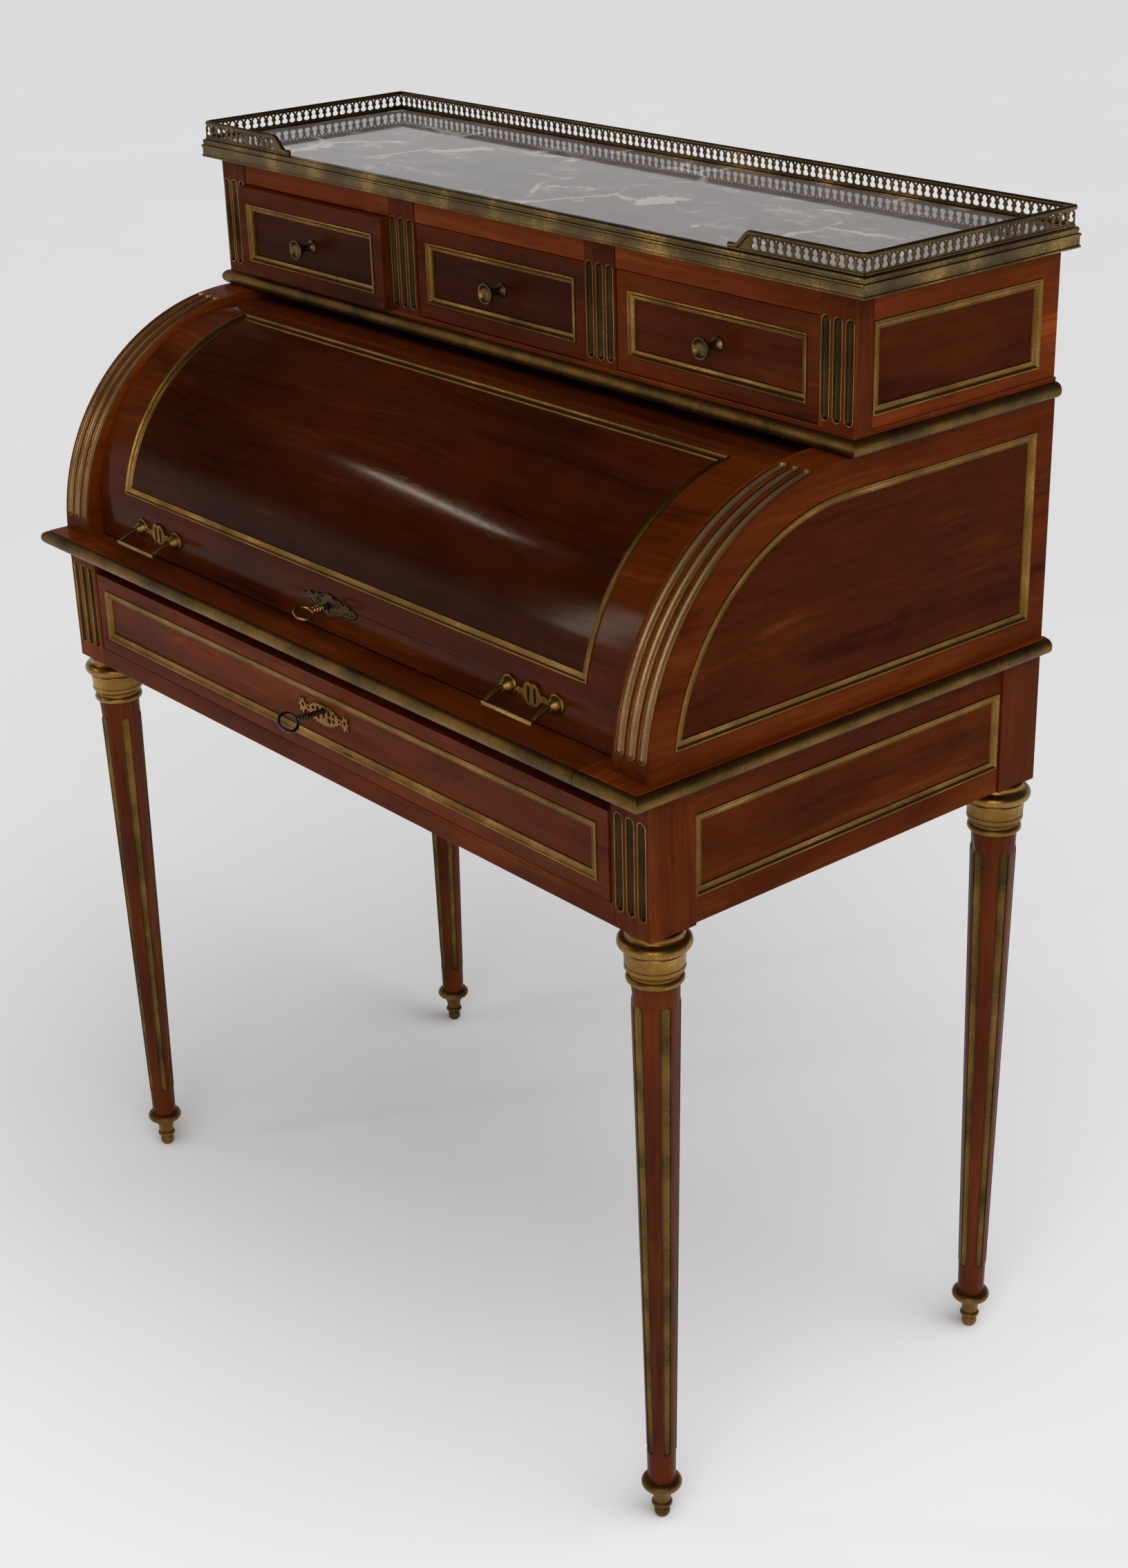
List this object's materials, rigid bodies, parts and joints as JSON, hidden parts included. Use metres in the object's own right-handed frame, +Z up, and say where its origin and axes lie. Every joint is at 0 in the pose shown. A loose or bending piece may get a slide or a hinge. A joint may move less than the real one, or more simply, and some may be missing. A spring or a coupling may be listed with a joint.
{
  "type": "cylinder desk",
  "caption": "Desk with a turning quarter-round cylinder front, pull-out writing slide, drawers, marble top with a pierced brass gallery, and tapering fluted legs.",
  "frame": {"origin": "bottom centre of the bounding box, on the floor", "axes": "+X to the right as one faces the front, +Y to the back, +Z up"},
  "size_m": [0.931, 0.5279, 1.13],
  "materials": {
    "mahogany": "polished",
    "drawer_wood": "matte",
    "brass": "aged",
    "iron": "worn",
    "marble": "polished",
    "leather": "satin"
  },
  "bodies": {
    "case": {"back_panels": "drawer_wood", "carcase_side_left": "mahogany", "carcase_side_right": "mahogany", "corner_posts": "mahogany", "cylinder_pivots": "iron", "drawer_runners": "drawer_wood", "flute_liners": "brass", "front_rails": "mahogany", "gallery_back": "brass", "gallery_sides": "brass", "leg_collars": "brass", "leg_flute_liners": "brass", "leg_sabots": "brass", "legs": "mahogany", "marble_top": "marble", "pigeonhole_nest": "mahogany", "side_aprons": "mahogany", "side_frames": "brass", "slide_bed": "drawer_wood", "table_moulding": "brass", "table_top_frame": "mahogany", "top_band": "brass", "upper_deck": "mahogany", "upper_partitions": "drawer_wood", "upper_pilasters": "mahogany", "upper_rails": "mahogany", "upper_sides": "mahogany", "upper_top_board": "drawer_wood", "waist_moulding": "brass"},
    "drawer_left": {"drawer_left_front": "mahogany", "drawer_left_box": "drawer_wood", "drawer_left_frame": "brass", "drawer_left_knob": "brass"},
    "drawer_centre": {"drawer_centre_front": "mahogany", "drawer_centre_box": "drawer_wood", "drawer_centre_frame": "brass", "drawer_centre_knob": "brass"},
    "drawer_right": {"drawer_right_front": "mahogany", "drawer_right_box": "drawer_wood", "drawer_right_frame": "brass", "drawer_right_knob": "brass"},
    "cylinder": {"cylinder_panel": "mahogany", "cylinder_frame": "brass", "cylinder_quadrants": "mahogany", "cylinder_handles": "brass", "cylinder_escutcheon": "brass", "cylinder_lock": "iron"},
    "cylinder_key": {"cylinder_key": "brass"},
    "cylinder_bolt": {"cylinder_bolt": "iron"},
    "writing_slide": {"writing_slide": "mahogany", "slide_leather": "leather", "slide_moulding": "brass"},
    "frieze_drawer": {"frieze_drawer_front": "mahogany", "frieze_drawer_box": "drawer_wood", "frieze_drawer_frame": "brass", "frieze_escutcheon": "brass", "frieze_lock": "iron"},
    "frieze_key": {"frieze_key": "iron"},
    "frieze_bolt": {"frieze_bolt": "iron"}
  },
  "joints": [
    {"name": "drawer_left_slide", "type": "slide", "parent": "case", "child": "drawer_left", "axis": [0, -1, 0], "range_m": [-0.0115, 0.14]},
    {"name": "drawer_centre_slide", "type": "slide", "parent": "case", "child": "drawer_centre", "axis": [0, -1, 0], "range_m": [0, 0.15]},
    {"name": "drawer_right_slide", "type": "slide", "parent": "case", "child": "drawer_right", "axis": [0, -1, 0], "range_m": [0, 0.15]},
    {"name": "cylinder_hinge", "type": "hinge", "parent": "case", "child": "cylinder", "pos_m": [0, -0.0105, 0.7675], "axis": [-1, 0, 0], "range_deg": [0, 66]},
    {"name": "cylinder_key_turn", "type": "hinge", "parent": "cylinder", "child": "cylinder_key", "pos_m": [0, -0.2, 0.775], "axis": [0, -1, 0], "range_deg": [0, 90]},
    {"name": "cylinder_bolt_throw", "type": "slide", "parent": "cylinder", "child": "cylinder_bolt", "axis": [0, 0, -1], "range_m": [0, 0.008]},
    {"name": "writing_slide_pull", "type": "slide", "parent": "case", "child": "writing_slide", "axis": [0, -1, 0], "range_m": [0, 0.2]},
    {"name": "frieze_drawer_slide", "type": "slide", "parent": "case", "child": "frieze_drawer", "axis": [0, -1, 0], "range_m": [0, 0.26]},
    {"name": "frieze_key_turn", "type": "hinge", "parent": "frieze_drawer", "child": "frieze_key", "pos_m": [0, -0.215, 0.676], "axis": [0, -1, 0], "range_deg": [0, 90]},
    {"name": "frieze_bolt_throw", "type": "slide", "parent": "frieze_drawer", "child": "frieze_bolt", "axis": [0, 0, 1], "range_m": [0, 0.008]}
  ],
  "couplings": [
    {"joint": "cylinder_bolt_throw", "follows": "cylinder_key_turn", "m_per_rad": 0.00509},
    {"joint": "frieze_bolt_throw", "follows": "frieze_key_turn", "m_per_rad": 0.00509}
  ]
}
